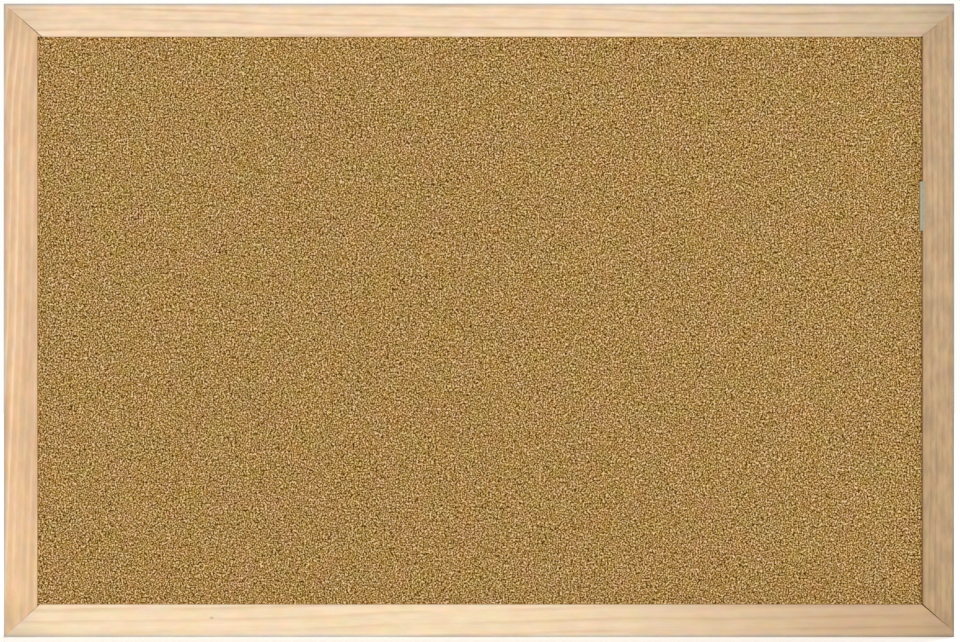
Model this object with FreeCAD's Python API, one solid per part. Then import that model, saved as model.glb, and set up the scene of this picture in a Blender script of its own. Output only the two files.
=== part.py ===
import FreeCAD, Part
import math
import os

# A framed cork bulletin board that hangs on a wall.
# All sizes are in millimetres. +X points to the right of a person who faces the board,
# +Z points up and the cork faces -Y. The origin lies on the wall, behind the middle of
# the board, so everything stands at Y = 0 or in front of it.

# ---------------------------------------------------------------- driving dimensions

BOARD_WIDTH = 600.0
BOARD_HEIGHT = 400.0
# The face of each frame member. Sanding has left them a little uneven.
FACE_WIDTH = {"left": 21.4, "right": 20.2, "top": 21.0, "bottom": 20.8}
FRAME_DEPTH = 15.0
WALL_GAP = 4.0               # from the wall to the back of the frame

LIP_THICKNESS = 4.0          # wood in front of the cork
RABBET_WIDTH = 7.0
PANEL_CLEARANCE = 0.5        # all round the panels, inside the rabbet
CORK_THICKNESS = 2.0
CORE_THICKNESS = 5.0
BACK_THICKNESS = 2.5

FRONT_ARRIS_RADIUS = 2.5     # outer front edge of the moulding
INNER_ARRIS_RADIUS = 0.4
REAR_CHAMFER = 0.6
CORNER_RADIUS = 0.6          # the four outer corners

# No mitre is true. Each has its angle from the length of the rail, and the distance by
# which it misses the corner of the opening, measured along the rail towards the middle.
# The left ones end in the outer corners. The right ones are too flat for that, so the
# tips of the rails show beside the right stile as blunt ends. The V nails draw the backs
# of the joints tight, while the faces stand open at the heels.
MITRE_ANGLE = {"top_left": 41.1, "top_right": 37.8, "bottom_left": 42.4, "bottom_right": 41.0}
MITRE_MISS = {"top_left": 2.67, "top_right": 0.85, "bottom_left": 1.38, "bottom_right": 0.0}
MITRE_OPENING = {"top_left": 0.5, "top_right": 0.15, "bottom_left": 0.25, "bottom_right": 0.8}
MITRE_CLOSED = 3.0           # length beside the toe that is shut at the face too
MITRE_GAP_DEPTH = 7.0        # from the face to where the joint is tight
NOTCHED_CORNERS = ("bottom_left",)   # the wood between the mitre and the corner is gone

V_NAIL_LEG = 4.2
V_NAIL_HALF_ANGLE = 50.0
V_NAIL_SHEET = 0.6
V_NAIL_HEIGHT = 7.0
V_NAIL_SINK = 0.2            # below the back of the frame
V_NAIL_PLACES = (0.36, 0.74)   # along the mitre, from the rabbet to the toe

POINT_WIDTH = 5.5
POINT_SHEET = 0.5
POINT_BURIED = 6.0
POINT_SHOWING = 9.0
POINT_NOSE = 2.5             # length of the sharpened nose
POINTS_ALONG_RAIL = (-230.0, -115.0, 0.0, 115.0, 230.0)
POINTS_ALONG_STILE = (-125.0, -20.0, 75.0)

HANGER_OFFSET = 291.2        # from the middle of the board to the middle of each hanger
HANGER_HEIGHT = 110.0        # ring axis above the middle of the board
STRAP_WIDTH = 8.5
STRAP_SHEET = 0.8
STRAP_LENGTH = 11.75         # from the ring axis to the rounded end
STRAP_SLIT = 0.1             # between the two layers of the folded sheet
STRAP_PINCH = 4.0            # from the ring axis to where the layers meet
BARREL_RADIUS = 1.8
BARREL_BORE_RADIUS = 0.98
RING_WIRE_RADIUS = 0.9
RING_WIDTH = 14.2            # between the middles of the wire
RING_LEG = 6.0               # from the axis to the start of the round end
RING_BEND_RADIUS = 1.6
RING_LEAN = 3.0              # degrees past upright, towards the frame

SCREW_DROP = 7.5             # below the ring axis
SCREW_LENGTH = 12.0
SCREW_RADIUS = 1.5
SCREW_TIP = 2.5
SCREW_TIP_RADIUS = 0.2
SCREW_CLEARANCE = 0.2        # between the shank and the hole in the strap
HEAD_RADIUS = 2.8
HEAD_HEIGHT = 2.0
HEAD_DOME_RADIUS = 1.3
DRIVE_LENGTH = 3.0
DRIVE_WIDTH = 0.7
DRIVE_DEPTH = 1.1

BUMPER_RADIUS = 5.0
BUMPER_RIM_RADIUS = 1.0
BUMPER_OFFSET = 293.0        # from the middle of the board
BUMPER_DROP = 180.0          # below the middle of the board

LABEL_SHEET = 0.15
LABEL_LOW = 56.6
LABEL_HIGH = 87.7
LABEL_ON_WOOD = 1.9          # width stuck to the face of the stile
LABEL_ON_CORK = 1.8          # how far its free edge reaches out over the cork

OVERCUT = 6.0                # how far cutting shapes reach past the wood
GAP_REACH = 1.4              # length of a gap's wedge, as a multiple of the gap
TOLERANCE = 0.01             # for finding edges by where they are

# ---------------------------------------------------------------- worked-out places

frame_back = -WALL_GAP
frame_front = frame_back - FRAME_DEPTH
cork_front = frame_front + LIP_THICKNESS
core_front = cork_front + CORK_THICKNESS
back_front = core_front + CORE_THICKNESS
panel_back = back_front + BACK_THICKNESS

axis_y = frame_back + BARREL_RADIUS
strap_back = frame_back + 2 * STRAP_SHEET

SIDE = {"left": -1, "right": 1}
LEVEL = {"bottom": -1, "top": 1}
CORNERS = [f"{level}_{side}" for level in LEVEL for side in SIDE]

# Edges of the opening: x at the left and right, z at the bottom and top.
opening = {side: sign * (BOARD_WIDTH / 2 - FACE_WIDTH[side]) for side, sign in SIDE.items()}
opening.update({level: sign * (BOARD_HEIGHT / 2 - FACE_WIDTH[level]) for level, sign in LEVEL.items()})

# ---------------------------------------------------------------- helpers


def vector(x, y, z):
    return FreeCAD.Vector(x, y, z)


def box(x_range, y_range, z_range):
    """Box between three pairs of low and high limits."""
    low = vector(x_range[0], y_range[0], z_range[0])
    size = [pair[1] - pair[0] for pair in (x_range, y_range, z_range)]
    return Part.makeBox(size[0], size[1], size[2], low)


def panel(margin, front, back):
    """Flat panel that reaches past the opening by a margin on each side."""
    x_range = (opening["left"] - margin, opening["right"] + margin)
    z_range = (opening["bottom"] - margin, opening["top"] + margin)
    return box(x_range, (front, back), z_range)


def prism(outline, front, back):
    """Solid between two depths whose outline is a list of (x, z) points."""
    corners = [vector(x, front, z) for x, z in outline]
    face = Part.Face(Part.makePolygon(corners + corners[:1]))
    return face.extrude(vector(0, back - front, 0))


def edges_within(shape, y_range, half_width=math.inf, half_height=math.inf):
    """Edges whose points all lie in a range of depths and near enough to the middle."""
    def inside(point):
        in_depth = y_range[0] - TOLERANCE < point.y < y_range[1] + TOLERANCE
        in_width = abs(point.x) < half_width + TOLERANCE
        return in_depth and in_width and abs(point.z) < half_height + TOLERANCE
    return [edge for edge in shape.Edges if all(inside(v.Point) for v in edge.Vertexes)]


def edges_along_y(shape):
    """Straight edges that run from front to back."""
    def runs_back(edge):
        step = edge.Vertexes[-1].Point - edge.Vertexes[0].Point
        return abs(step.y) > TOLERANCE and max(abs(step.x), abs(step.z)) < TOLERANCE
    return [edge for edge in shape.Edges if runs_back(edge)]


# ---------------------------------------------------------------- frame


def frame_ring():
    """The whole frame before it is divided at the mitres."""
    x_range = (-BOARD_WIDTH / 2, BOARD_WIDTH / 2)
    z_range = (-BOARD_HEIGHT / 2, BOARD_HEIGHT / 2)
    blank = box(x_range, (frame_front, frame_back), z_range)
    eased = blank.makeFillet(FRONT_ARRIS_RADIUS, edges_within(blank, (frame_front, frame_front)))
    eased = eased.makeChamfer(REAR_CHAMFER, edges_within(eased, (frame_back, frame_back)))
    rounded = blank.makeFillet(CORNER_RADIUS, edges_along_y(blank))
    outside = eased.common(rounded)
    window = panel(0, frame_front - OVERCUT, frame_back + OVERCUT)
    rabbet = panel(RABBET_WIDTH, cork_front, frame_back + OVERCUT)
    ring = outside.cut([window, rabbet])
    inside_x = BOARD_WIDTH / 2 - 2 * FRONT_ARRIS_RADIUS
    inside_z = BOARD_HEIGHT / 2 - 2 * FRONT_ARRIS_RADIUS
    inner_arris = edges_within(ring, (frame_front, frame_front), inside_x, inside_z)
    ring = ring.makeFillet(INNER_ARRIS_RADIUS, inner_arris)
    gaps = [mitre_gap(corner) for corner in CORNERS]
    notches = [heel_notch(corner) for corner in NOTCHED_CORNERS]
    return ring.cut(gaps + notches)


def mitre_frame(corner):
    """Heel of a mitre, its direction outwards and its normal towards the rail, in (x, z)."""
    level, side = corner.split("_")
    angle = math.radians(MITRE_ANGLE[corner])
    heel = (opening[side] - SIDE[side] * MITRE_MISS[corner], opening[level])
    along = (SIDE[side] * math.cos(angle), LEVEL[level] * math.sin(angle))
    normal = (-SIDE[side] * math.sin(angle), LEVEL[level] * math.cos(angle))
    return heel, along, normal


def offset_point(point, direction, distance):
    return (point[0] + direction[0] * distance, point[1] + direction[1] * distance)


def toe_of(corner):
    """Where the mitre reaches the outer side of the stile."""
    heel, along, _ = mitre_frame(corner)
    return offset_point(heel, along, (BOARD_WIDTH / 2 - abs(heel[0])) / abs(along[0]))


def heel_notch(corner):
    """Wedge of missing wood between a mitre and the corner of the opening."""
    level, _ = corner.split("_")
    heel, along, _ = mitre_frame(corner)
    end = offset_point(heel, along, MITRE_MISS[corner] / abs(along[0]))
    inner_z = opening[level] - LEVEL[level] * OVERCUT
    outline = [heel, end, (end[0], inner_z), (heel[0], inner_z)]
    return prism(outline, frame_front - OVERCUT, frame_back + OVERCUT)


def mitre_gap(corner):
    """Wedge of air between the faces of two members, widest at the heel."""
    heel, along, normal = mitre_frame(corner)
    closed = offset_point(toe_of(corner), along, -MITRE_CLOSED)
    outline = [closed]
    for half_opening in (MITRE_OPENING[corner] / 2, -MITRE_OPENING[corner] / 2):
        open_heel = offset_point(heel, normal, half_opening)
        to_heel = (open_heel[0] - closed[0], open_heel[1] - closed[1])
        outline.append(offset_point(closed, to_heel, GAP_REACH))
    return prism(outline, frame_front - OVERCUT, frame_front + MITRE_GAP_DEPTH)


def mitre_line(corner):
    """Cutting line of a mitre, from past its heel to past its toe."""
    heel, along, _ = mitre_frame(corner)
    return [offset_point(heel, along, -OVERCUT), offset_point(toe_of(corner), along, OVERCUT)]


def rail_region(level):
    """Outline that a top or bottom rail is cut to."""
    far_x = BOARD_WIDTH / 2 + 2 * OVERCUT
    far_z = LEVEL[level] * (BOARD_HEIGHT / 2 + 2 * OVERCUT)
    left_end = mitre_line(f"{level}_left")
    right_end = mitre_line(f"{level}_right")
    return left_end + [(-far_x, far_z), (far_x, far_z)] + right_end[::-1]


def stile_region(side):
    """Outline that a left or right stile is cut to."""
    return mitre_line(f"top_{side}") + mitre_line(f"bottom_{side}")[::-1]


def frame_member(ring, region, fasteners):
    """One length of moulding, with the pockets that its fasteners sit in."""
    blank = ring.common(prism(region, frame_front - OVERCUT, frame_back + OVERCUT))
    return blank.cut(fasteners)


# ---------------------------------------------------------------- fasteners in the frame


def v_nail(corner, place):
    """V nail driven in from behind, its ridge on the mitre and a leg in each member."""
    heel, along, normal = mitre_frame(corner)
    toe = toe_of(corner)
    past_side = (RABBET_WIDTH + MITRE_MISS[corner]) / abs(along[0])
    past_rail = RABBET_WIDTH / abs(along[1])
    start = offset_point(heel, along, max(past_side, past_rail))
    ridge = (start[0] + (toe[0] - start[0]) * place, start[1] + (toe[1] - start[1]) * place)
    half_angle = math.radians(V_NAIL_HALF_ANGLE)
    back = -V_NAIL_LEG * math.cos(half_angle)
    spread = V_NAIL_LEG * math.sin(half_angle)
    shift = V_NAIL_SHEET / math.sin(half_angle)
    chevron = [(back, spread), (0, 0), (back, -spread),
               (back - shift, -spread), (-shift, 0), (back - shift, spread)]
    outline = [offset_point(offset_point(ridge, along, p), normal, q) for p, q in chevron]
    nail_back = frame_back - V_NAIL_SINK
    return prism(outline, nail_back - V_NAIL_HEIGHT, nail_back)


def panel_point(wall, inwards, across):
    """Flat steel point: its nose in the rabbet wall, its tail on the back panel.

    wall is the middle of the slot in (x, z), inwards leads over the panel and across
    lies along the frame member.
    """
    half = POINT_WIDTH / 2
    shape = [(-POINT_BURIED, 0), (POINT_NOSE - POINT_BURIED, half), (POINT_SHOWING, half),
             (POINT_SHOWING, -half), (POINT_NOSE - POINT_BURIED, -half)]
    outline = [offset_point(offset_point(wall, inwards, p), across, q) for p, q in shape]
    return prism(outline, panel_back, panel_back + POINT_SHEET)


def rail_points(level):
    wall_z = opening[level] + LEVEL[level] * RABBET_WIDTH
    return [panel_point((x, wall_z), (0, -LEVEL[level]), (1, 0)) for x in POINTS_ALONG_RAIL]


def stile_points(side):
    wall_x = opening[side] + SIDE[side] * RABBET_WIDTH
    return [panel_point((wall_x, z), (-SIDE[side], 0), (0, 1)) for z in POINTS_ALONG_STILE]


# ---------------------------------------------------------------- hangers


def strap_profile():
    """Side view of the folded strap before its bore and slit: barrel, pinch and tail."""
    centre = vector(0, axis_y, HANGER_HEIGHT)
    barrel = Part.Face(Part.Wire(Part.makeCircle(BARREL_RADIUS, centre, vector(1, 0, 0))))
    pinch = vector(0, strap_back, HANGER_HEIGHT - STRAP_PINCH)
    reach = pinch - centre
    turn = math.atan2(reach.z, reach.y) + math.acos(BARREL_RADIUS / reach.Length)
    tangent = centre + vector(0, math.cos(turn), math.sin(turn)) * BARREL_RADIUS
    flat = [vector(0, frame_back, HANGER_HEIGHT - STRAP_LENGTH),
            vector(0, strap_back, HANGER_HEIGHT - STRAP_LENGTH),
            pinch, tangent, centre, vector(0, frame_back, HANGER_HEIGHT)]
    return barrel, Part.Face(Part.makePolygon(flat + flat[:1]))


def hanger_strap(side):
    """Steel strap folded round the ring's bar, with a rounded tail and a screw hole."""
    middle = SIDE[side] * HANGER_OFFSET
    across = vector(STRAP_WIDTH, 0, 0)
    barrel, flat = [face.extrude(across) for face in strap_profile()]
    folded = barrel.fuse(flat).removeSplitter()
    folded.translate(vector(middle - STRAP_WIDTH / 2, 0, 0))
    x_range = (middle - STRAP_WIDTH / 2, middle + STRAP_WIDTH / 2)
    round_z = HANGER_HEIGHT - STRAP_LENGTH + STRAP_WIDTH / 2
    square = box(x_range, (frame_back, 0), (round_z, HANGER_HEIGHT + BARREL_RADIUS))
    tail = Part.makeCylinder(STRAP_WIDTH / 2, WALL_GAP,
                             vector(middle, frame_back, round_z), vector(0, 1, 0))
    bore = Part.makeCylinder(BARREL_BORE_RADIUS, STRAP_WIDTH,
                             vector(x_range[0], axis_y, HANGER_HEIGHT), vector(1, 0, 0))
    slit_y = frame_back + STRAP_SHEET
    slit = box(x_range, (slit_y - STRAP_SLIT / 2, slit_y + STRAP_SLIT / 2),
               (HANGER_HEIGHT - STRAP_LENGTH, HANGER_HEIGHT - BARREL_RADIUS))
    hole = Part.makeCylinder(SCREW_RADIUS + SCREW_CLEARANCE, WALL_GAP,
                             vector(middle, frame_back, HANGER_HEIGHT - SCREW_DROP), vector(0, 1, 0))
    return folded.common(square.fuse(tail)).cut([bore, slit, hole])


def hanger_ring(side):
    """Closed D of round wire, upright and leaning on the back of the frame."""
    middle = SIDE[side] * HANGER_OFFSET
    half = RING_WIDTH / 2
    bend = RING_BEND_RADIUS
    diagonal = bend * (1 - math.sqrt(0.5))

    def at(x, z):
        return vector(middle + x, axis_y, HANGER_HEIGHT + z)

    path = [Part.LineSegment(at(bend - half, 0), at(half - bend, 0)),
            Part.Arc(at(half - bend, 0), at(half - diagonal, diagonal), at(half, bend)),
            Part.LineSegment(at(half, bend), at(half, RING_LEG)),
            Part.Arc(at(half, RING_LEG), at(0, RING_LEG + half), at(-half, RING_LEG)),
            Part.LineSegment(at(-half, RING_LEG), at(-half, bend)),
            Part.Arc(at(-half, bend), at(diagonal - half, diagonal), at(bend - half, 0))]
    wire = Part.Wire([curve.toShape() for curve in path])
    section = Part.Wire(Part.makeCircle(RING_WIRE_RADIUS, at(bend - half, 0), vector(1, 0, 0)))
    ring = wire.makePipeShell([section], True, False)
    ring.rotate(at(0, 0), vector(1, 0, 0), RING_LEAN)
    return ring


def hanger_screw(side):
    """Pan-head wood screw with a cross recess; the thread is left as a plain shank."""
    start = vector(SIDE[side] * HANGER_OFFSET, strap_back, HANGER_HEIGHT - SCREW_DROP)
    inwards = vector(0, -1, 0)
    head = Part.makeCylinder(HEAD_RADIUS, HEAD_HEIGHT, start, -inwards)
    head_back = strap_back + HEAD_HEIGHT
    head = head.makeFillet(HEAD_DOME_RADIUS, edges_within(head, (head_back, head_back)))
    shank_length = SCREW_LENGTH - SCREW_TIP
    shank = Part.makeCylinder(SCREW_RADIUS, shank_length, start, inwards)
    tip = Part.makeCone(SCREW_RADIUS, SCREW_TIP_RADIUS, SCREW_TIP,
                        start + inwards * shank_length, inwards)
    slot_y = (head_back - DRIVE_DEPTH, head_back)
    long_way = DRIVE_LENGTH / 2
    short_way = DRIVE_WIDTH / 2
    slots = [box((start.x - a, start.x + a), slot_y, (start.z - b, start.z + b))
             for a, b in ((long_way, short_way), (short_way, long_way))]
    return head.fuse([shank, tip]).removeSplitter().cut(slots)


# ---------------------------------------------------------------- small pieces


def bumper(side):
    """Round rubber pad that keeps the lower edge off the wall."""
    centre = vector(SIDE[side] * BUMPER_OFFSET, frame_back, -BUMPER_DROP)
    pad = Part.makeCylinder(BUMPER_RADIUS, WALL_GAP, centre, vector(0, 1, 0))
    return pad.makeFillet(BUMPER_RIM_RADIUS, edges_within(pad, (0, 0)))


def edge_label():
    """Blank strip folded over the inner edge of the right stile, down to the cork."""
    edge = opening["right"]
    section = [(edge + LABEL_ON_WOOD, frame_front),
               (edge + LABEL_ON_WOOD, frame_front - LABEL_SHEET),
               (edge - LABEL_SHEET, frame_front - LABEL_SHEET),
               (edge - LABEL_ON_CORK - LABEL_SHEET, cork_front),
               (edge - LABEL_ON_CORK, cork_front),
               (edge, frame_front)]
    corners = [vector(x, y, LABEL_LOW) for x, y in section]
    face = Part.Face(Part.makePolygon(corners + corners[:1]))
    return face.extrude(vector(0, 0, LABEL_HIGH - LABEL_LOW))


# ---------------------------------------------------------------- assembly


def build_nodes():
    """Every piece of the board by name."""
    nodes = {}
    in_rail = {}
    in_stile = {}
    v_nails = []
    for corner in CORNERS:
        pair = [v_nail(corner, place) for place in V_NAIL_PLACES]
        nodes[f"v_nails_{corner}"] = Part.makeCompound(pair)
        v_nails += pair
    for level in LEVEL:
        in_rail[level] = rail_points(level)
        nodes[f"panel_points_{level}"] = Part.makeCompound(in_rail[level])
    for side in SIDE:
        points = stile_points(side)
        screw = hanger_screw(side)
        in_stile[side] = points + [screw]
        nodes[f"panel_points_{side}"] = Part.makeCompound(points)
        nodes[f"{side}_hanger_screw"] = screw
        nodes[f"{side}_hanger_strap"] = hanger_strap(side)
        nodes[f"{side}_hanger_ring"] = hanger_ring(side)
        nodes[f"{side}_bumper"] = bumper(side)
    ring = frame_ring()
    for level in LEVEL:
        nodes[f"{level}_rail"] = frame_member(ring, rail_region(level), v_nails + in_rail[level])
    for side in SIDE:
        nodes[f"{side}_stile"] = frame_member(ring, stile_region(side), v_nails + in_stile[side])
    margin = RABBET_WIDTH - PANEL_CLEARANCE
    nodes["cork_sheet"] = panel(margin, cork_front, core_front)
    nodes["core_board"] = panel(margin, core_front, back_front)
    nodes["back_panel"] = panel(margin, back_front, panel_back)
    nodes["edge_label"] = edge_label()
    return nodes


os.makedirs("parts", exist_ok=True)
for name, shape in build_nodes().items():
    shape.exportStep(f"parts/{name}.step")
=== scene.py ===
import math

import bmesh
import bpy
import numpy as np
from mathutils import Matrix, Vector


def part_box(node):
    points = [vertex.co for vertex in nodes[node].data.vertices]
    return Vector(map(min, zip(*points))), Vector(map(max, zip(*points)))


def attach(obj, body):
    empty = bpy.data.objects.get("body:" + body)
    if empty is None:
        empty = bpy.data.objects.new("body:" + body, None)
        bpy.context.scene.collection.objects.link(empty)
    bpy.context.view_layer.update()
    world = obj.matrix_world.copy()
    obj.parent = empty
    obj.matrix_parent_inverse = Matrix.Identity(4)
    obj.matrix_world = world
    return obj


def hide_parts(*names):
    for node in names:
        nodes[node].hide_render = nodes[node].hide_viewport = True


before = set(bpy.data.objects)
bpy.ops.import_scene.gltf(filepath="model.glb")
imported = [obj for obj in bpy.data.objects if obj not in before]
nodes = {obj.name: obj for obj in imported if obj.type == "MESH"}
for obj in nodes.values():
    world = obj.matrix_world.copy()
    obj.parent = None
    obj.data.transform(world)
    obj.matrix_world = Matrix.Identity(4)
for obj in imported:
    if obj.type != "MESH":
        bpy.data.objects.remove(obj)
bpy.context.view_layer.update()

# The looks of a framed cork board: relief of pressed granules, pine members with their own
# grain, the back with its hardware, a plain studio and a long lens square on to the front.
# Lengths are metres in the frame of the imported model: +X right, -Y front, +Z up. The
# frequencies of textures are per metre.

MM = 0.001
LIP_COVER = 6.5 * MM         # border of the cork sheet that lies under the frame's lip

# ------------------------------------------------------------------ places from the frame

BOARD_LOW = Vector((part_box("left_stile")[0].x, 0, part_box("bottom_rail")[0].z))
BOARD_HIGH = Vector((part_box("right_stile")[1].x, 0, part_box("top_rail")[1].z))
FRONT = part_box("top_rail")[0].y
FRAME_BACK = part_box("top_rail")[1].y
CORK_LOW, CORK_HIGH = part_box("cork_sheet")
OPEN_LOW = CORK_LOW + Vector((LIP_COVER, 0, LIP_COVER))
OPEN_HIGH = CORK_HIGH - Vector((LIP_COVER, 0, LIP_COVER))
LABEL_LOW, LABEL_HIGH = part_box("edge_label")

STUDIO_GAIN = 1.40           # light on a white front face, as a multiple of white


def seen_as(red, green, blue):
    """Linear albedo of a matt surface that looks like this sRGB colour in the studio."""
    def linear(value):
        value /= 255
        return value / 12.92 if value <= 0.04045 else ((value + 0.055) / 1.055) ** 2.4
    return tuple(linear(c) / STUDIO_GAIN for c in (red, green, blue)) + (1.0,)


# ------------------------------------------------------------------ material nodes


class Nodes:
    """A material's node tree, filled by short calls that return output sockets."""

    def __init__(self, name):
        self.material = bpy.data.materials.new(name)
        self.material.use_nodes = True
        self.tree = self.material.node_tree
        self.tree.nodes.clear()
        self.point = self.add("ShaderNodeTexCoord").outputs["Object"]
        self.x, self.y, self.z = self.split(self.point)

    def add(self, kind, **settings):
        node = self.tree.nodes.new(kind)
        for key, value in settings.items():
            setattr(node, key, value)
        return node

    def feed(self, socket, value):
        if isinstance(value, bpy.types.NodeSocket):
            self.tree.links.new(value, socket)
        else:
            socket.default_value = value

    def calc(self, operation, *values):
        node = self.add("ShaderNodeMath", operation=operation)
        for socket, value in zip(node.inputs, values):
            self.feed(socket, value)
        return node.outputs[0]

    def plus(self, *values):
        total = values[0]
        for value in values[1:]:
            total = self.calc("ADD", total, value)
        return total

    def minus(self, first, second):
        return self.calc("SUBTRACT", first, second)

    def times(self, *values):
        total = values[0]
        for value in values[1:]:
            total = self.calc("MULTIPLY", total, value)
        return total

    def distance(self, first, second):
        """Length of the diagonal over two distances at right angles."""
        return self.calc("SQRT", self.plus(self.times(first, first), self.times(second, second)))

    def split(self, vector):
        node = self.add("ShaderNodeSeparateXYZ")
        self.feed(node.inputs[0], vector)
        return node.outputs

    def vector(self, x, y, z):
        node = self.add("ShaderNodeCombineXYZ")
        for socket, value in zip(node.inputs, (x, y, z)):
            self.feed(socket, value)
        return node.outputs[0]

    def scaled(self, scale, shift=(0, 0, 0)):
        """The object's own coordinates, stretched per axis and shifted."""
        node = self.add("ShaderNodeMapping")
        self.feed(node.inputs["Vector"], self.point)
        self.feed(node.inputs["Scale"], scale)
        self.feed(node.inputs["Location"], shift)
        return node.outputs[0]

    def noise(self, vector, scale=1.0, detail=2.0, roughness=0.5):
        node = self.add("ShaderNodeTexNoise")
        self.feed(node.inputs["Vector"], vector)
        for key, value in (("Scale", scale), ("Detail", detail), ("Roughness", roughness)):
            self.feed(node.inputs[key], value)
        return node.outputs["Fac"]

    def cells(self, vector, scale):
        """Distance to the nearest centre of cells spread over x and z."""
        x, _, z = self.split(vector)
        node = self.add("ShaderNodeTexVoronoi", feature="F1", voronoi_dimensions="2D")
        self.feed(node.inputs["Vector"], self.vector(x, z, 0.0))
        self.feed(node.inputs["Scale"], scale)
        return node.outputs["Distance"]

    def ease(self, value, low, high, to_low=0.0, to_high=1.0):
        """Smooth step from to_low below low to to_high above high."""
        node = self.add("ShaderNodeMapRange", interpolation_type="SMOOTHSTEP")
        for socket, number in zip(node.inputs, (value, low, high, to_low, to_high)):
            self.feed(socket, number)
        return node.outputs[0]

    def curve(self, place, course):
        """Distance that a course of (place, distance) pairs in millimetres gives."""
        first, last = course[0][0] * MM, course[-1][0] * MM
        node = self.add("ShaderNodeFloatCurve")
        line = node.mapping.curves[0]
        while len(line.points) < len(course):
            line.points.new(0.5, 0.5)
        for point, (along, distance) in zip(line.points, course):
            point.location = ((along * MM - first) / (last - first), distance * MM / COURSE_REACH)
        node.mapping.update()
        share = self.calc("DIVIDE", self.minus(place, first), last - first)
        self.feed(node.inputs["Value"], share)
        return self.times(node.outputs[0], COURSE_REACH)

    def ramp(self, value, stops):
        """Colour ramp through (position, colour) stops."""
        node = self.add("ShaderNodeValToRGB")
        elements = node.color_ramp.elements
        while len(elements) < len(stops):
            elements.new(0.5)
        for element, (position, color) in zip(elements, stops):
            element.position = position
            element.color = color
        self.feed(node.inputs[0], value)
        return node.outputs["Color"]

    def blend(self, factor, first, second, mode="MIX"):
        node = self.add("ShaderNodeMix", data_type="RGBA", blend_type=mode)
        self.feed(node.inputs[0], factor)
        self.feed(node.inputs[6], first)
        self.feed(node.inputs[7], second)
        return node.outputs[2]

    def tinted(self, color, tint):
        """Multiplies a colour by another, channel by channel."""
        return self.blend(1.0, color, tint, "MULTIPLY")

    def brighten(self, color, factor):
        """Multiplies a colour by a single number from a socket."""
        node = self.add("ShaderNodeVectorMath", operation="SCALE")
        self.feed(node.inputs[0], color)
        self.feed(node.inputs["Scale"], factor)
        return node.outputs[0]

    def swing(self, value, amount):
        """1 plus or minus amount as value goes from 0 to 1."""
        return self.plus(1 - amount, self.times(value, 2 * amount))

    def contrast(self, noise):
        """Stretches a noise so that it fills most of 0 to 1."""
        return self.ease(noise, 0.3, 0.7)

    def clouds(self, color, rosy, cool, rosy_tint, cool_tint):
        """Tints a colour by two noises: rosy by channel, cool in the blue alone."""
        rosy = self.minus(rosy, 0.5)
        cool = self.minus(cool, 0.5)
        red, green, blue = (self.plus(1, self.times(rosy, share)) for share in rosy_tint)
        blue = self.plus(blue, self.times(cool, cool_tint))
        return self.tinted(color, self.vector(red, green, blue))

    def attribute(self, name):
        return self.add("ShaderNodeAttribute", attribute_name=name).outputs["Fac"]

    def bump(self, height, distance, strength=1.0):
        node = self.add("ShaderNodeBump")
        self.feed(node.inputs["Height"], height)
        self.feed(node.inputs["Distance"], distance)
        self.feed(node.inputs["Strength"], strength)
        return node.outputs[0]

    def finish(self, color, roughness, normal=None, metallic=0.0, specular=0.5):
        shader = self.add("ShaderNodeBsdfPrincipled")
        self.feed(shader.inputs["Base Color"], color)
        self.feed(shader.inputs["Roughness"], roughness)
        shader.inputs["Metallic"].default_value = metallic
        shader.inputs["Specular IOR Level"].default_value = specular
        if normal is not None:
            self.feed(shader.inputs["Normal"], normal)
        output = self.add("ShaderNodeOutputMaterial")
        self.tree.links.new(shader.outputs[0], output.inputs[0])
        return self.material


# ------------------------------------------------------------------ pine

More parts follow.
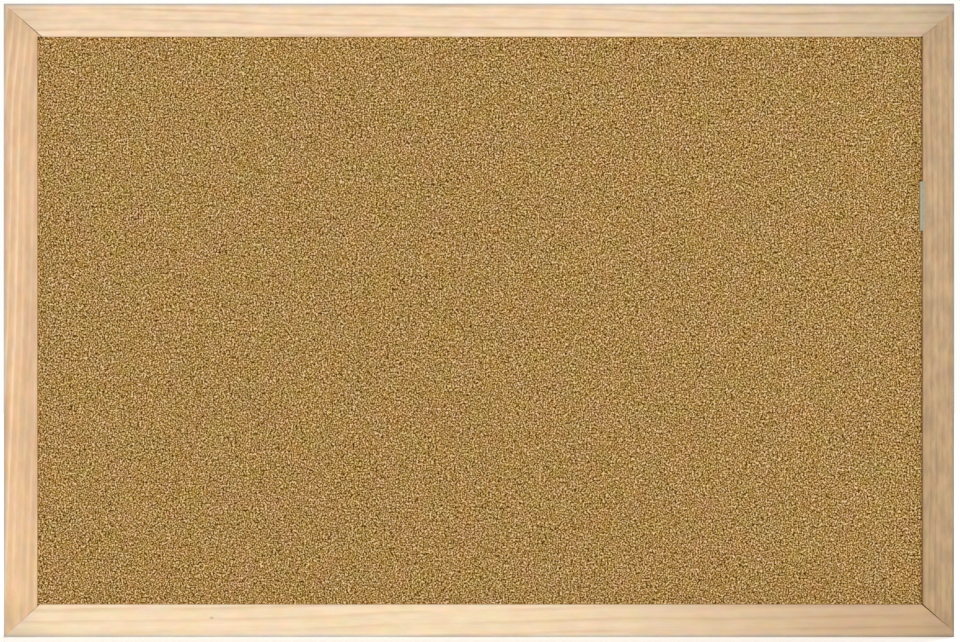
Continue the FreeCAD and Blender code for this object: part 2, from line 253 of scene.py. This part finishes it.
# Each member has its own board of pine. "start" and "end" are the colours at the left and
# right of a rail, or the top and bottom of a stile, and "fade" is where one turns into the
# other, in metres from the middle. "ring" is the spacing of the growth rings on the face, in
# millimetres. "course" says how far in from the outer edge one ring line runs, as (place
# along the member, distance) pairs in millimetres from its middle; the others follow it.
# "line" is a ring line's colour at the start, and "line_width" its share of the spacing.
# "unbroken" is the strength of a line where it is faintest, and "inner" that of the lines
# further in than the course, both as shares of "line_strength". "band" and "mottle" are how
# much the wood lightens and darkens in long bands and in clouds.
# The rails' darker right ends and the darker right stile: partly own tone, partly painted shade.
PINE = {
    "top_rail": {
        "start": (251, 220, 184), "end": (211, 185, 150), "fade": (0.05, 0.34), "ring": 6.6,
        "course": ((-290, 3.9), (-205, 4.4), (-100, 7.1), (-10, 8.8),
                   (65, 10.0), (140, 12.6), (290, 12.8)),
        "line": (212, 172, 136), "line_strength": 0.47, "line_width": 0.28,
        "unbroken": 0.25, "inner": 1.0, "band": 0.045, "mottle": 0.055, "seed": 3.1,
    },
    "bottom_rail": {
        "start": (255, 230, 194), "end": (207, 171, 131), "fade": (-0.02, 0.34), "ring": 7.5,
        "course": ((-290, 2.6), (-215, 3.3), (-100, 5.9), (-40, 8.4),
                   (60, 11.4), (180, 13.2), (290, 14.4)),
        "line": (226, 186, 146), "line_strength": 0.36, "line_width": 0.36,
        "unbroken": 0.25, "inner": 1.0, "band": 0.026, "mottle": 0.036, "seed": 8.7,
    },
    "left_stile": {
        "start": (234, 191, 149), "end": (242, 201, 155), "fade": (0.07, 0.20), "ring": 4.7,
        "course": ((-200, 17.0), (-184, 15.4), (-167, 13.4), (-132, 10.6), (-69, 9.1),
                   (-15, 8.0), (25, 6.6), (66, 5.6), (103, 3.6), (200, 1.0)),
        "line": (249, 214, 175), "line_strength": 0.95, "line_width": 0.50,
        "unbroken": 0.75, "inner": 0.45, "band": 0.055, "mottle": 0.070, "seed": 15.3,
    },
    "right_stile": {
        "start": (206, 171, 131), "end": (196, 163, 122), "fade": (-0.2, 0.2), "ring": 3.6,
        "course": ((-190, 4.6), (-60, 3.6), (70, 4.0), (190, 5.4)),
        "line": (180, 148, 108), "line_strength": 0.55, "line_width": 0.50,
        "unbroken": 0.25, "inner": 1.0, "band": 0.055, "mottle": 0.14, "seed": 23.9,
    },
}
COURSE_REACH = 20 * MM       # the largest distance that a course can give
RING_WANDER = 2.4 * MM       # how far the lines stray from their course
RING_TILT = 0.85             # how far the rings lean as they run back through the wood
RING_TAIL = 0.16             # share of the spacing over which a line fades outwards
RINGS_BEFORE = 100           # keeps the count of rings above zero everywhere

# Frequencies of the textures along the grain, across it and into the wood.
SWAY = (16, 30, 30)
BREAKS = (14, 120, 0)
BANDS = (4, 230, 300)
CLOUDS = (70, 210, 330)
TINTS = (75, 130, 90)
FIBRES = (22, 1300, 1300)
DUCTS = (180, 1700, 1700)
# Added to a member's seed, so that its textures differ from each other.
BREAK_SEED = 5
ROSY_SEED = 2
COOL_SEED = 9

PINE_ROSY = (0.16, -0.16, -0.06)   # how far a noise turns red, green and blue
PINE_COOL = 0.44             # how far another turns the blue alone
FIBRE_SWING = 0.07
DUCT_STRENGTH = 0.22
GRAIN_DEPTH = 0.12 * MM

KNOT = Vector((-168.6, 0, -187.6)) * MM
KNOT_RADIUS = 0.8 * MM
KNOT_FLATNESS = 0.55         # height over length
KNOT_STRENGTH = 0.40
KNOT_BROWN = seen_as(150, 100, 62)


def pine_axes(n, name):
    """Position along the grain, in from the outer edge, and back from the face."""
    depth = n.minus(n.y, FRONT)
    if name == "top_rail":
        return n.x, n.minus(BOARD_HIGH.z, n.z), depth
    if name == "bottom_rail":
        return n.x, n.minus(n.z, BOARD_LOW.z), depth
    along = n.times(n.z, -1)
    if name == "left_stile":
        return along, n.minus(n.x, BOARD_LOW.x), depth
    return along, n.minus(BOARD_HIGH.x, n.x), depth


def in_grain(n, axes, frequencies, seed=0.0):
    """Place in the wood for a texture that is drawn out along the grain."""
    along, across, depth = (n.times(axis, often) for axis, often in zip(axes, frequencies))
    return n.vector(along, across, n.plus(depth, seed))


def pine_rings(n, spec, axes):
    """How strong the ring line is at each point, from 0 to 1."""
    along, across, depth = axes
    sway = n.noise(in_grain(n, axes, SWAY, spec["seed"]), detail=1.5)
    wander = n.times(n.minus(sway, 0.5), RING_WANDER)
    course = n.curve(along, spec["course"])
    face = n.plus(across, n.times(depth, RING_TILT), n.times(course, -1), wander)
    spacing = spec["ring"] * MM
    turn = n.calc("FRACT", n.plus(n.calc("DIVIDE", face, spacing), RINGS_BEFORE))
    before = n.ease(turn, 1 - spec["line_width"], 1.0)
    after = n.ease(turn, 0.0, RING_TAIL, 1.0, 0.0)
    line = n.calc("MAXIMUM", before, after)
    breaks = n.noise(in_grain(n, axes, BREAKS, spec["seed"] + BREAK_SEED), detail=1.0)
    present = n.ease(breaks, 0.34, 0.60, spec["unbroken"], 1.0)
    inward = n.ease(face, 0.3 * spacing, spacing, 1.0, spec["inner"])
    return n.times(line, present, inward)


def mottled(n, spec, axes, color):
    """Long bands, then clouds, lighter and darker, and rosy or straw-coloured."""
    seed = spec["seed"]
    band = n.noise(in_grain(n, axes, BANDS, seed), detail=2.0, roughness=0.6)
    color = n.brighten(color, n.swing(n.contrast(band), spec["band"]))
    cloud = n.noise(in_grain(n, axes, CLOUDS, seed), detail=3.0, roughness=0.6)
    color = n.brighten(color, n.swing(n.contrast(cloud), spec["mottle"]))
    rosy = n.noise(in_grain(n, axes, TINTS, seed + ROSY_SEED), detail=2.0, roughness=0.7)
    cool = n.noise(in_grain(n, axes, TINTS, seed + COOL_SEED), detail=2.0, roughness=0.7)
    return n.clouds(color, rosy, cool, PINE_ROSY, PINE_COOL)


def pine(name):
    """The board one member is cut from, what has happened to it since, and painted shade."""
    spec = PINE[name]
    n = Nodes(f"{name}_pine")
    axes = pine_axes(n, name)

    # Start to end: partly the wood's tone, partly painted shade for light falling off to the
    # right.
    far = n.ease(axes[0], *spec["fade"])
    base = n.blend(far, seen_as(*spec["start"]), seen_as(*spec["end"]))
    ring = pine_rings(n, spec, axes)
    faded = (c * e / s for c, e, s in zip(spec["line"], spec["end"], spec["start"]))
    line = n.blend(far, seen_as(*spec["line"]), seen_as(*faded))
    color = n.blend(n.times(ring, spec["line_strength"]), base, line)
    color = mottled(n, spec, axes, color)

    # Fine fibres, and resin ducts as short thin dashes.
    fibre = n.noise(in_grain(n, axes, FIBRES), detail=4.0, roughness=0.65)
    color = n.brighten(color, n.swing(fibre, FIBRE_SWING))
    duct = n.ease(n.noise(in_grain(n, axes, DUCTS), detail=1.0), 0.70, 0.80)
    color = n.blend(n.times(duct, DUCT_STRENGTH), color, line)

    if name == "bottom_rail":
        color = n.blend(knot_mask(n), color, KNOT_BROWN)
    color = edge_shade_and_dark_corners(n, color)
    color = saw_cut(n, color)
    if name == "right_stile":
        color = lip_shade_and_brown_face(n, color)

    grain = n.plus(n.times(fibre, 0.6), n.times(ring, 0.4))
    rough = n.plus(0.5, n.times(fibre, 0.2))
    return n.finish(color, rough, n.bump(grain, GRAIN_DEPTH, 0.5), specular=0.28)


def knot_mask(n):
    """A pin knot with a soft halo drawn out along the grain."""
    reach = n.distance(n.times(n.minus(n.x, KNOT.x), KNOT_FLATNESS), n.minus(n.z, KNOT.z))
    return n.ease(reach, KNOT_RADIUS * 0.4, KNOT_RADIUS * 1.3, KNOT_STRENGTH, 0.0)


ARRIS_SHADE_TINT = (0.87, 1.01, 1.28, 1)   # tint of the painted shade on the rounded outer edge, greyer and bluer
ARRIS_SHADE_BREAKS = 90                  # frequency of the noise that breaks up that painted shade
LOWER_EDGE_SHADE = 0.81                # brightness of the painted shade along the lower edge
CORNER_BRIGHTNESS = 0.86                  # brightness at the corners, darker towards them


def edge_shade_and_dark_corners(n, color):
    """Painted shade on the outer arris, greyed and bluer, and along the foot; darker corners."""
    from_side = n.minus(BOARD_HIGH.x, n.calc("ABSOLUTE", n.x))
    from_end = n.minus(BOARD_HIGH.z, n.calc("ABSOLUTE", n.z))
    inside = n.calc("MINIMUM", from_side, from_end)
    reach = n.distance(inside, n.minus(n.y, FRONT))
    shade_breakup = n.ease(n.noise(n.point, ARRIS_SHADE_BREAKS, detail=3.0), 0.2, 0.6, 0.6, 1.0)
    # Painted shade on the rounded outer edge.
    arris_shade = n.times(n.ease(reach, 1.1 * MM, 2.9 * MM, 1.0, 0.0), shade_breakup)
    color = n.blend(arris_shade, color, n.tinted(color, ARRIS_SHADE_TINT))
    # Painted shade along the lower edge.
    above_foot = n.minus(n.z, BOARD_LOW.z)
    color = n.brighten(color, n.ease(above_foot, 0.6 * MM, 3.0 * MM, LOWER_EDGE_SHADE, 1.0))
    # Darker towards the corners.
    corner = n.distance(from_side, from_end)
    return n.brighten(color, n.ease(corner, 6 * MM, 34 * MM, CORNER_BRIGHTNESS, 1.0))


SAWN_TINT = (0.90, 0.86, 0.80, 1)
SAW_MARKS = (420, 1, 420)    # frequencies along x, y and z


def saw_cut(n, color):
    """The back is left from the saw: duller, with faint marks across it."""
    behind = n.ease(n.y, FRAME_BACK - 0.5 * MM, FRAME_BACK - 0.1 * MM)
    marks = n.noise(n.scaled(SAW_MARKS), detail=1.0)
    rough_face = n.tinted(n.brighten(color, n.swing(marks, 0.10)), SAWN_TINT)
    return n.blend(behind, color, rough_face)


LIP_SHADE = 0.52               # strength of the painted shade on the edge
BROWN_BESIDE = 0.09        # strength on the face beside it


def lip_shade_and_brown_face(n, color):
    """Painted shade on the inner edge of the right stile; the face beside it a little browner."""
    past_edge = n.minus(n.x, OPEN_HIGH.x)
    # Painted shade on the inner edge.
    lip = n.ease(past_edge, 0.15 * MM, 1.15 * MM, LIP_SHADE, 0.0)
    color = n.blend(lip, color, seen_as(146, 104, 60))
    beside = n.ease(past_edge, 2 * MM, 7 * MM, BROWN_BESIDE, 0.0)
    return n.blend(beside, color, seen_as(146, 104, 40))


# ------------------------------------------------------------------ cork

CHIP_PITCH = 1.6 * MM        # of the facets modelled on the face
CHIP_JITTER = 0.36           # of the pitch
CHIP_SEED = 20
CHIP_DROP = 0.08 * MM        # typical depth of a facet's corner below the sanded face
PIT_SHARE = 0.03             # corners where a granule has fallen out
PIT_DEPTH = 0.40 * MM
HIDDEN_DEPTH = 0.05 * MM     # the face under the frame's lip lies this far back
LIP_MARGIN = 0.2 * MM        # relief ends this far outside the visible cork

GRANULE_PITCH = 1.03 * MM    # of the pale granules, and of the dark ones between them
GRANULE_STRETCH = 1.07       # height over width
GRANULE_CONTRAST = 0.90      # of the pale granules against the dark ones
GRANULE_DEPTH = 0.1 * MM
DARK_SHIFT = (3.17, 0, 5.71)       # sets the dark granules apart from the pale ones
CHIP_CONTRAST = 0.03         # of one facet against the others
PIT_SHADE = -0.15            # of a pit against the face round it
# Colours of the cork from its darkest level, 0, to its palest, 1.
CORK_SHADES = (
    (0.00, (66, 31, 0)),
    (0.20, (107, 67, 0)),
    (0.35, (140, 100, 22)),
    (0.50, (171, 133, 64)),
    (0.65, (202, 163, 101)),
    (0.80, (230, 194, 137)),
    (1.00, (255, 224, 176)),
)
CORK_TINTS = 58              # frequency of the clouds that tint the cork
COOL_SHIFT = (3, 5, 7)       # sets the cool clouds apart from the rosy ones
CORK_ROSY = (0.23, -0.15, 0.18)    # how far a noise turns red, green and blue
CORK_COOL = 0.8              # how far another turns the blue alone

# Painted light on the cork's borders against the lip's shade, as (width, brightness at the
# frame).
BORDER_LIGHT = (3.5 * MM, 1.15)
EDGE_LINE_LIGHT = (0.9 * MM, 1.12)
FOOT_LIGHT = (9 * MM, 1.06)
RIGHT_LIGHT = (5 * MM, 1.05)
RIGHT_SHADOW_LINE = 0.42            # strength of the painted shadow line beside the right stile


def chip_lattice(rng, half_width, half_height):
    """Jittered triangular lattice that fills a rectangle round the origin exactly."""
    columns = round(2 * half_width / CHIP_PITCH)
    rows = round(2 * half_height / (CHIP_PITCH * math.sqrt(0.75))) + 1
    column_step = 2 * half_width / (columns - 0.5)
    x = np.arange(columns)[None, :] * column_step - half_width
    x = np.repeat(x, rows, axis=0)
    x[1::2] += column_step / 2
    z = np.linspace(-half_height, half_height, rows)[:, None].repeat(columns, axis=1)
    shift = rng.uniform(-1, 1, (2, rows, columns)) * CHIP_JITTER * CHIP_PITCH
    x[:, 1:-1] += shift[0][:, 1:-1]
    z[1:-1] += shift[1][1:-1]
    x[:, 0] = -half_width
    x[:, -1] = half_width
    index = np.arange(rows * columns).reshape(rows, columns)
    triangles = []
    for first in (0, 1):
        low, high = index[first:-1:2], index[first + 1::2]
        a, b, c, d = low[:, :-1], low[:, 1:], high[:, :-1], high[:, 1:]
        pair = ((a, b, c), (b, d, c)) if first == 0 else ((a, b, d), (a, d, c))
        triangles += [np.stack([corner.ravel() for corner in tri], axis=1) for tri in pair]
    return x.ravel(), z.ravel(), np.concatenate(triangles)


def chip_depths(rng, x, z):
    """How far each corner of the facets lies below the sanded face."""
    depth = CHIP_DROP * np.abs(rng.normal(0, 1, len(x)))
    pits = rng.uniform(0, 1, len(x)) < PIT_SHARE
    depth[pits] = PIT_DEPTH * rng.uniform(0.7, 1.2, pits.sum())
    past_side = (x < OPEN_LOW.x - LIP_MARGIN) | (x > OPEN_HIGH.x + LIP_MARGIN)
    past_end = (z < OPEN_LOW.z - LIP_MARGIN) | (z > OPEN_HIGH.z + LIP_MARGIN)
    depth[past_side | past_end] = HIDDEN_DEPTH
    return depth


def cork_field():
    """The sheet with the relief of its chips, closed by its sides and back."""
    rng = np.random.default_rng(CHIP_SEED)
    middle = (CORK_LOW + CORK_HIGH) / 2
    x, z, triangles = chip_lattice(rng, CORK_HIGH.x - middle.x, CORK_HIGH.z - middle.z)
    x += middle.x
    z += middle.z
    depth = chip_depths(rng, x, z)
    vertices = np.stack([x, CORK_LOW.y + depth, z], axis=1)
    mesh = bpy.data.meshes.new("cork_field")
    mesh.from_pydata(vertices.tolist(), [], triangles.tolist())
    for name, domain, value in (
        ("depth", "POINT", depth / CHIP_DROP),
        ("chip", "FACE", rng.normal(0, 1, len(triangles))),
    ):
        layer = mesh.attributes.new(name, "FLOAT", domain)
        layer.data.foreach_set("value", value.astype(np.float32))
    close_sheet(mesh)
    for polygon in mesh.polygons:
        polygon.use_smooth = polygon.normal.y < -0.3
    return link("cork_field", mesh, cork())


def close_sheet(mesh):
    """Adds the sides and the back to a sheet that has only its face."""
    body = bmesh.new()
    body.from_mesh(mesh)
    rim = [edge for edge in body.edges if edge.is_boundary]
    made = bmesh.ops.extrude_edge_only(body, edges=rim)["geom"]
    for vertex in (item for item in made if isinstance(item, bmesh.types.BMVert)):
        vertex.co.y = CORK_HIGH.y
    back = [item for item in made if isinstance(item, bmesh.types.BMEdge) and item.is_boundary]
    bmesh.ops.contextual_create(body, geom=back)
    bmesh.ops.recalc_face_normals(body, faces=body.faces)
    body.to_mesh(mesh)
    body.free()


def cork():
    """Pale granules with dark ones between them, in soft clouds of slightly other colours."""
    n = Nodes("pressed_cork")
    squash = (1, 1, 1 / GRANULE_STRETCH)
    pale = n.cells(n.scaled(squash), 1 / GRANULE_PITCH)
    dark = n.cells(n.scaled(squash, DARK_SHIFT), 1 / GRANULE_PITCH)
    relief = n.minus(dark, pale)
    pit = n.ease(n.attribute("depth"), 1.5, 4.5)
    level = n.plus(
        0.5,
        n.times(relief, GRANULE_CONTRAST),
        n.times(n.attribute("chip"), CHIP_CONTRAST),
        n.times(pit, PIT_SHADE),
    )
    color = n.ramp(level, [(place, seen_as(*shade)) for place, shade in CORK_SHADES])
    rosy = n.noise(n.point, CORK_TINTS, detail=2.0, roughness=0.7)
    cool = n.noise(n.scaled((1, 1, 1), COOL_SHIFT), CORK_TINTS, detail=2.0, roughness=0.7)
    color = n.clouds(color, rosy, cool, CORK_ROSY, CORK_COOL)
    color = cork_border_light_and_shadow(n, color)
    return n.finish(color, 0.82, n.bump(relief, GRANULE_DEPTH, 0.5), specular=0.08)


def cork_border_light_and_shadow(n, color):
    """Painted light by the frame, against its shade; painted shadow line by the right stile."""
    left = n.minus(n.x, OPEN_LOW.x)
    right = n.minus(OPEN_HIGH.x, n.x)
    foot = n.minus(n.z, OPEN_LOW.z)
    top = n.minus(OPEN_HIGH.z, n.z)
    nearest = n.calc("MINIMUM", n.calc("MINIMUM", left, right), n.calc("MINIMUM", foot, top))
    # Painted light, against the shade that the lip casts.
    for inside, (width, brightness) in (
        (nearest, BORDER_LIGHT),
        (nearest, EDGE_LINE_LIGHT),
        (foot, FOOT_LIGHT),
        (right, RIGHT_LIGHT),
    ):
        color = n.brighten(color, n.ease(inside, 0.0, width, brightness, 1.0))
    # Painted shadow line along the right stile.
    shadow_line = n.ease(right, 0.5 * MM, 1.3 * MM, RIGHT_SHADOW_LINE, 0.0)
    return n.blend(shadow_line, color, seen_as(116, 78, 34))


# ------------------------------------------------------------------ other materials

SCREEN_PITCH = 1.7 * MM      # of the wire screen that has printed the hardboard


def hardboard():
    """Smooth brown board whose back carries the print of a wire screen."""
    n = Nodes("hardboard_back")
    cloud = n.noise(n.point, 16, detail=4.0, roughness=0.6)
    fibre = n.noise(n.point, 700, detail=4.0, roughness=0.7)
    color = n.ramp(cloud, [(0.3, seen_as(124, 86, 52)), (0.7, seen_as(150, 108, 68))])
    color = n.brighten(color, n.swing(fibre, 0.22))
    turns = 2 * math.pi / SCREEN_PITCH
    wires = [n.calc("SINE", n.times(axis, turns)) for axis in (n.x, n.z)]
    screen = n.calc("MAXIMUM", *wires)
    color = n.brighten(color, n.swing(n.plus(0.5, n.times(screen, 0.5)), 0.05))
    relief = n.plus(n.times(screen, 0.3), fibre)
    return n.finish(color, 0.62, n.bump(relief, 0.15 * MM, 0.8), specular=0.3)


def fibreboard():
    """Soft grey-brown felt of wood fibres."""
    n = Nodes("soft_fibreboard")
    felt = n.noise(n.scaled((500, 1200, 500)), detail=5.0, roughness=0.75)
    color = n.ramp(felt, [(0.3, seen_as(150, 122, 88)), (0.7, seen_as(196, 168, 130))])
    return n.finish(color, 0.9, n.bump(felt, 0.3 * MM), specular=0.15)


def steel(name, light, dark, rough, clouds):
    """Plated or bare steel: clouds of so many per metre, with fine scratches."""
    n = Nodes(name)
    cloud = n.noise(n.point, clouds, detail=4.0, roughness=0.6)
    scratch = n.noise(n.scaled((6000, 900, 400)), detail=2.0)
    color = n.ramp(cloud, [(0.30, dark + (1,)), (0.70, light + (1,))])
    color = n.brighten(color, n.swing(scratch, 0.10))
    roughness = n.plus(rough, n.times(cloud, 0.18))
    return n.finish(color, roughness, n.bump(scratch, 0.02 * MM, 0.5), metallic=1.0)


def rubber():
    """Dull black rubber with a pale bloom."""
    n = Nodes("bumper_rubber")
    bloom = n.noise(n.point, 260, detail=4.0)
    color = n.ramp(bloom, [(0.35, seen_as(34, 34, 36)), (0.75, seen_as(58, 57, 56))])
    skin = n.noise(n.point, 3000, detail=2.0)
    return n.finish(color, 0.7, n.bump(skin, 0.05 * MM, 0.6), specular=0.35)


LABEL_FOOT_SHADE = 0.75          # strength of the painted shade along the label's foot


def paper():
    """Blank pale strip: painted light on its flank, painted shade on the face and along its foot.
    """
    n = Nodes("blank_label")
    fibre = n.noise(n.scaled((1400, 1400, 500)), detail=4.0, roughness=0.7)
    # Painted light and shade: the flank over the cork paler than the part on the stile's face.
    on_face = n.ease(n.minus(n.x, OPEN_HIGH.x), -0.9 * MM, 0.5 * MM)
    color = n.blend(on_face, seen_as(228, 223, 190), seen_as(178, 167, 142))
    # Painted shade along the foot, where the strip meets the cork.
    foot = n.ease(n.minus(n.x, LABEL_LOW.x), 0.45 * MM, 1.10 * MM, LABEL_FOOT_SHADE, 0.0)
    color = n.blend(foot, color, seen_as(142, 120, 72))
    rubbed = n.noise(n.point, 900, detail=2.0)
    color = n.brighten(color, n.swing(n.contrast(rubbed), 0.09))
    color = n.brighten(color, n.swing(fibre, 0.10))
    return n.finish(color, 0.75, n.bump(fibre, 0.04 * MM, 0.6), specular=0.25)


# ------------------------------------------------------------------ pieces

LABEL_SHEET = 0.16 * MM      # thickness of the strip
LABEL_GLUE = 0.02 * MM       # between the strip and the wood
WOOD_ARRIS = 0.4 * MM        # radius of the stile's inner front edge
FOLD_TURN = 75               # degrees by which the strip turns over the edge
FOLD_STEPS = 6
FOOT_INSET = 0.33 * MM       # of the glued side's foot from the side of the label's box
FOOT_CLEARANCE = 0.2 * MM    # in front of the cork
FLANK_SAG = 0.12 * MM
FLANK_STEPS = 4
LABEL_STATIONS = 40          # along its length
LABEL_SEED = 4
LABEL_WAVE = 0.05 * MM       # how far the foot waves along its length
LABEL_WAVES = 9              # radians from one end to the other
LABEL_RAGGED = 0.05 * MM     # how far the foot strays at random
LABEL_FLANK = 1.1 * MM       # from the stile's edge to where the strip strays that far


def link(name, mesh, material):
    """Puts a mesh with its material into the scene."""
    piece = bpy.data.objects.new(name, mesh)
    mesh.materials.append(material)
    bpy.context.scene.collection.objects.link(piece)
    return piece


def dress(node, material):
    """Gives a CAD node its material."""
    slots = nodes[node].data.materials
    slots.clear()
    slots.append(material)


def label_section():
    """Glued side of the folded strip as (x, y): on the wood, over the edge, to the cork."""
    fold = WOOD_ARRIS + LABEL_GLUE
    centre = Vector((OPEN_HIGH.x + WOOD_ARRIS, FRONT + WOOD_ARRIS))
    line = [Vector((LABEL_HIGH.x, FRONT - LABEL_GLUE))]
    for step in range(FOLD_STEPS + 1):
        angle = math.radians(90 + FOLD_TURN * step / FOLD_STEPS)
        line.append(centre + Vector((fold * math.cos(angle), -fold * math.sin(angle))))
    start = line[-1].copy()
    foot = Vector((LABEL_LOW.x + FOOT_INSET, CORK_LOW.y - FOOT_CLEARANCE))
    for step in range(1, FLANK_STEPS + 1):
        t = step / FLANK_STEPS
        line.append(start.lerp(foot, t) - Vector((FLANK_SAG * math.sin(math.pi * t), 0)))
    return line


def sheet_outline(line, thickness):
    """Closed outline of a sheet that lies on a line and has this thickness."""
    outer = []
    for k, point in enumerate(line):
        ahead = line[min(k + 1, len(line) - 1)] - line[max(k - 1, 0)]
        outward = Vector((-ahead.y, ahead.x)).normalized()
        outer.append(point + outward * thickness)
    return line + outer[::-1]


def edge_label():
    """Thin folded strip with slightly uneven edges."""
    rng = np.random.default_rng(LABEL_SEED)
    outline = sheet_outline(label_section(), LABEL_SHEET)
    count = len(outline)
    length = LABEL_HIGH.z - LABEL_LOW.z
    vertices = []
    for k in range(LABEL_STATIONS + 1):
        t = k / LABEL_STATIONS
        wave = LABEL_WAVE * math.sin(LABEL_WAVES * t) * math.sin(math.pi * t)
        stray = wave + LABEL_RAGGED * rng.uniform(-1, 1)
        for point in outline:
            on_flank = max(0.0, (OPEN_HIGH.x - point.x) / LABEL_FLANK)
            vertices.append((point.x + on_flank * stray, point.y, LABEL_LOW.z + length * t))
    faces = []
    for k in range(LABEL_STATIONS):
        low, high = k * count, (k + 1) * count
        for j in range(count):
            after = (j + 1) % count
            faces.append((low + j, low + after, high + after, high + j))
    faces.append(tuple(range(count))[::-1])
    faces.append(tuple(range(LABEL_STATIONS * count, (LABEL_STATIONS + 1) * count)))
    mesh = bpy.data.meshes.new("folded_label")
    mesh.from_pydata(vertices, [], faces)
    body = bmesh.new()
    body.from_mesh(mesh)
    bmesh.ops.recalc_face_normals(body, faces=body.faces)
    body.to_mesh(mesh)
    body.free()
    return link("folded_label", mesh, paper())


def dress_frame():
    for name in PINE:
        dress(name, pine(name))


def dress_hardware():
    bright = steel("bright_steel", (0.78, 0.78, 0.77), (0.55, 0.55, 0.54), 0.28, 300)
    dark = steel("dark_steel", (0.42, 0.42, 0.43), (0.24, 0.24, 0.25), 0.34, 260)
    plated = steel("zinc_plate", (0.80, 0.80, 0.78), (0.58, 0.58, 0.55), 0.24, 420)
    for name in nodes:
        if name.startswith("v_nails"):
            dress(name, bright)
        elif name.startswith("panel_points"):
            dress(name, dark)
        elif "hanger" in name:
            dress(name, plated)
        elif name.endswith("bumper"):
            dress(name, rubber())
    dress("back_panel", hardboard())
    dress("core_board", fibreboard())


def build_pieces():
    dress_frame()
    dress_hardware()
    field = cork_field()
    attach(field, "board")
    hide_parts("cork_sheet")
    label = edge_label()
    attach(label, "board")
    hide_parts("edge_label")


# ------------------------------------------------------------------ studio

CAMERA_DISTANCE = 2.5
PICTURE_SPAN = 605.5 * MM    # width of the picture at the face of the frame
BOARD_LEFT_OF_MIDDLE = 0.65 * MM
BOARD_ABOVE_MIDDLE = 0.38 * MM
SENSOR = 36.0
AMBIENT = 0.42
BACKDROP = (0.985, 0.985, 0.96, 1)
KEY_DIRECTION = (-0.03, 0.98, -0.20)
RIM_DIRECTION = (-0.35, -0.75, -0.55)
FLOOR_REACH = 6.0
FLOOR_TONES = ((0.88, 0.88, 0.86, 1), (0.91, 0.91, 0.89, 1))
FLOOR_GLOW = 0.46


def studio_camera():
    data = bpy.data.cameras.new("studio_camera")
    data.sensor_width = SENSOR
    data.lens = SENSOR * CAMERA_DISTANCE / PICTURE_SPAN
    camera = bpy.data.objects.new("studio_camera", data)
    camera.location = (BOARD_LEFT_OF_MIDDLE, FRONT - CAMERA_DISTANCE, -BOARD_ABOVE_MIDDLE)
    camera.rotation_euler = (math.pi / 2, 0, 0)
    bpy.context.scene.collection.objects.link(camera)
    bpy.context.scene.camera = camera


def sun(name, direction, strength, spread):
    """Soft distant lamp that shines along direction and is spread degrees wide."""
    data = bpy.data.lights.new(name, "SUN")
    data.energy = strength
    data.angle = math.radians(spread)
    lamp = bpy.data.objects.new(name, data)
    lamp.rotation_euler = Vector(direction).to_track_quat("-Z", "Y").to_euler()
    bpy.context.scene.collection.objects.link(lamp)


def studio_world():
    """White surroundings to look at, which light the board more gently than they look."""
    world = bpy.data.worlds.new("studio")
    world.use_nodes = True
    tree = world.node_tree
    tree.nodes.clear()
    seen = tree.nodes.new("ShaderNodeBackground")
    seen.inputs["Color"].default_value = BACKDROP
    lit = tree.nodes.new("ShaderNodeBackground")
    lit.inputs["Color"].default_value = (1, 1, 1, 1)
    lit.inputs["Strength"].default_value = AMBIENT
    path = tree.nodes.new("ShaderNodeLightPath")
    mix = tree.nodes.new("ShaderNodeMixShader")
    output = tree.nodes.new("ShaderNodeOutputWorld")
    tree.links.new(path.outputs["Is Camera Ray"], mix.inputs[0])
    tree.links.new(lit.outputs[0], mix.inputs[1])
    tree.links.new(seen.outputs[0], mix.inputs[2])
    tree.links.new(mix.outputs[0], output.inputs[0])
    bpy.context.scene.world = world


def studio_floor():
    """Plain pale floor that the lower edge stands on."""
    mesh = bpy.data.meshes.new("floor")
    quarters = ((-1, -1), (1, -1), (1, 1), (-1, 1))
    corners = [(x * FLOOR_REACH, y * FLOOR_REACH, BOARD_LOW.z) for x, y in quarters]
    mesh.from_pydata(corners, [], [(0, 1, 2, 3)])
    n = Nodes("pale_floor")
    tone = n.noise(n.point, 3, detail=3.0)
    color = n.ramp(tone, list(zip((0.3, 0.7), FLOOR_TONES)))
    material = n.finish(color, 0.8, specular=0.1)
    shader = next(node for node in n.tree.nodes if node.type == "BSDF_PRINCIPLED")
    shader.inputs["Emission Color"].default_value = (1, 1, 0.98, 1)
    shader.inputs["Emission Strength"].default_value = FLOOR_GLOW
    link("floor", mesh, material)


def build_studio():
    bpy.context.scene.view_settings.view_transform = "Standard"
    studio_camera()
    studio_world()
    studio_floor()
    sun("key", KEY_DIRECTION, 1.77, 22)
    sun("rim_from_behind", RIM_DIRECTION, 1.3, 20)


build_studio()
build_pieces()
